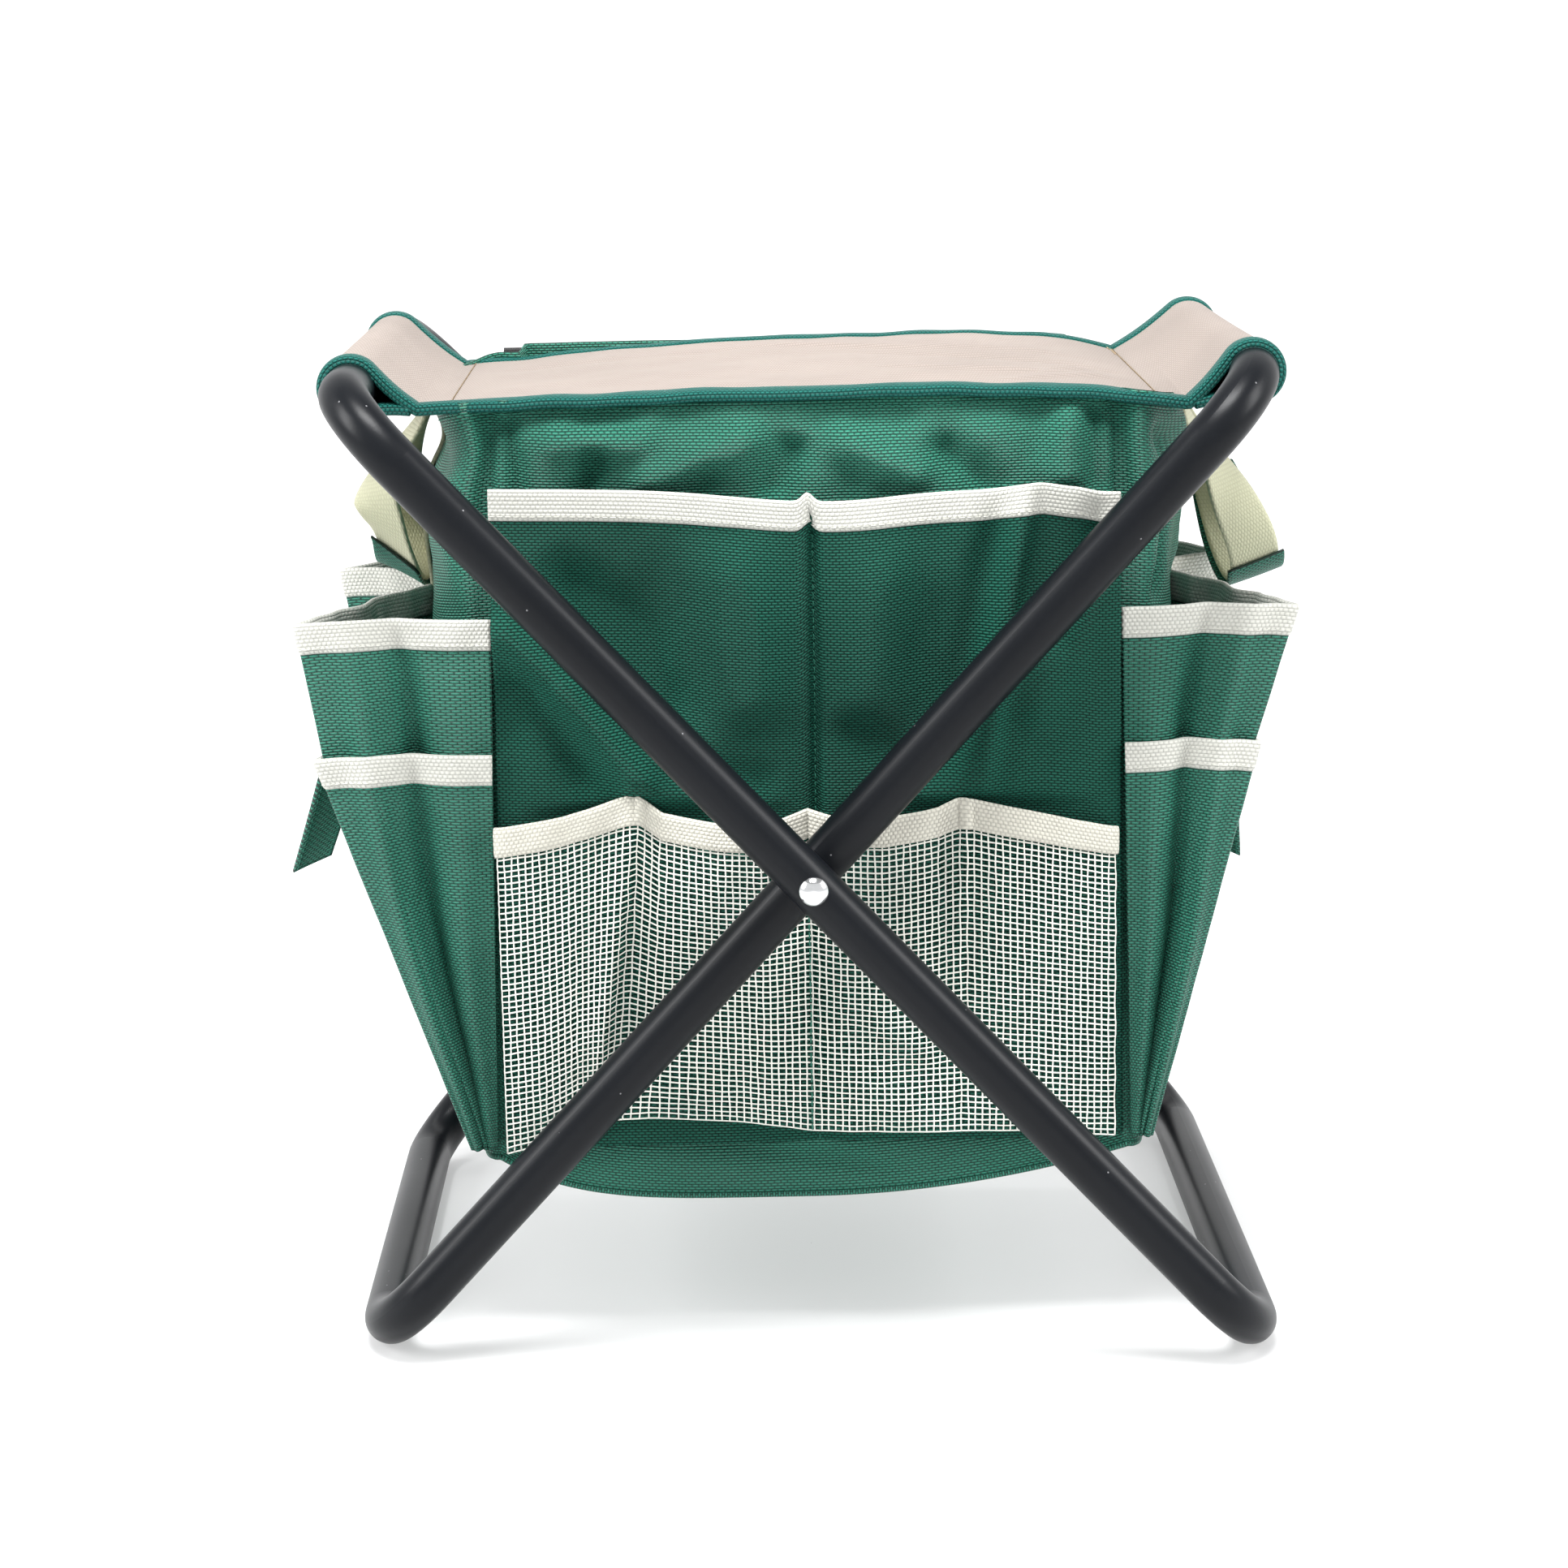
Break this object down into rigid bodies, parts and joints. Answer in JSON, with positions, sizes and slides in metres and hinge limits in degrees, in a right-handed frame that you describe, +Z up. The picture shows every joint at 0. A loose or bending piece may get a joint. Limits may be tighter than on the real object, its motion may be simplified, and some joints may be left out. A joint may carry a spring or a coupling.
{
  "type": "folding garden stool with tool bag",
  "caption": "Folding X-frame garden stool: two crossed tube loops, a fabric seat slung between the top rails and a pocketed fabric tool bag hung underneath.",
  "frame": {"origin": "centre of the bounding box on the floor under both foot rails", "axes": "+X right, +Y away from the mesh-pocket side and along the fold axis, +Z up"},
  "size_m": [0.4202, 0.3462, 0.4122],
  "materials": {
    "frame_tube": "satin black powder coat",
    "splice_steel": "plain",
    "rivet_chrome": "polished",
    "washer_steel": "plain",
    "spacer_plastic": "matt black",
    "seat_fabric": "fine ribbed tan cloth",
    "seat_binding": "ribbed green tape",
    "bag_fabric": "coarse woven green polyester",
    "pocket_tape": "ribbed ivory tape",
    "pocket_mesh": "white coated square mesh",
    "webbing": "ivory webbing",
    "elastic": "black ribbed elastic"
  },
  "bodies": {
    "outer_frame": {"outer_frame": "frame_tube", "outer_rail_splice": "splice_steel", "front_pivot_rivet": "rivet_chrome", "rear_pivot_rivet": "rivet_chrome", "front_rivet_washer": "washer_steel", "rear_rivet_washer": "washer_steel", "front_pivot_spacer": "spacer_plastic", "rear_pivot_spacer": "spacer_plastic", "seat_sheet": "seat_fabric", "seat_front_binding": "seat_binding", "seat_rear_binding": "seat_binding"},
    "inner_frame": {"inner_frame": "frame_tube", "inner_rail_splice": "splice_steel"},
    "bag": {"bag_front_panel": "bag_fabric", "bag_rear_panel": "bag_fabric", "bag_left_panel": "bag_fabric", "bag_right_panel": "bag_fabric", "bag_base": "bag_fabric", "front_tall_pocket": "bag_fabric", "left_front_side_pocket": "bag_fabric", "left_front_short_pocket": "bag_fabric", "left_rear_side_pocket": "bag_fabric", "left_rear_short_pocket": "bag_fabric", "right_front_side_pocket": "bag_fabric", "right_front_short_pocket": "bag_fabric", "right_rear_side_pocket": "bag_fabric", "right_rear_short_pocket": "bag_fabric", "front_tall_pocket_trim": "pocket_tape", "front_mesh_pocket_trim": "pocket_tape", "left_front_side_pocket_trim": "pocket_tape", "left_front_short_pocket_trim": "pocket_tape", "left_rear_side_pocket_trim": "pocket_tape", "left_rear_short_pocket_trim": "pocket_tape", "right_front_side_pocket_trim": "pocket_tape", "right_front_short_pocket_trim": "pocket_tape", "right_rear_side_pocket_trim": "pocket_tape", "right_rear_short_pocket_trim": "pocket_tape", "front_mesh_pocket": "pocket_mesh", "left_handle_anchor": "webbing", "left_tie_tab": "bag_fabric", "right_handle_anchor": "webbing", "right_tie_tab": "bag_fabric", "rear_hem_loop": "elastic"},
    "left_handle": {"left_handle": "webbing", "left_handle_grip": "bag_fabric"},
    "right_handle": {"right_handle": "webbing", "right_handle_grip": "bag_fabric"}
  },
  "joints": [
    {"name": "frame_fold", "type": "hinge", "parent": "outer_frame", "child": "inner_frame", "pos_m": [0, 0, 0.20481], "axis": [0, -1, 0], "range_deg": [0, 72], "deforming": ["seat_sheet", "seat_front_binding", "seat_rear_binding"]},
    {"name": "bag_follow", "type": "hinge", "parent": "outer_frame", "child": "bag", "pos_m": [0, 0, 0.20481], "axis": [0, -1, 0], "range_deg": [0, 36]},
    {"name": "left_handle_swing", "type": "hinge", "parent": "bag", "child": "left_handle", "pos_m": [-0.172, 0, 0.375], "axis": [0, 1, 0], "range_deg": [0, 35]},
    {"name": "right_handle_swing", "type": "hinge", "parent": "bag", "child": "right_handle", "pos_m": [0.172, 0, 0.375], "axis": [0, -1, 0], "range_deg": [0, 35]}
  ],
  "couplings": [
    {"joint": "bag_follow", "follows": "frame_fold", "ratio": 0.5}
  ]
}
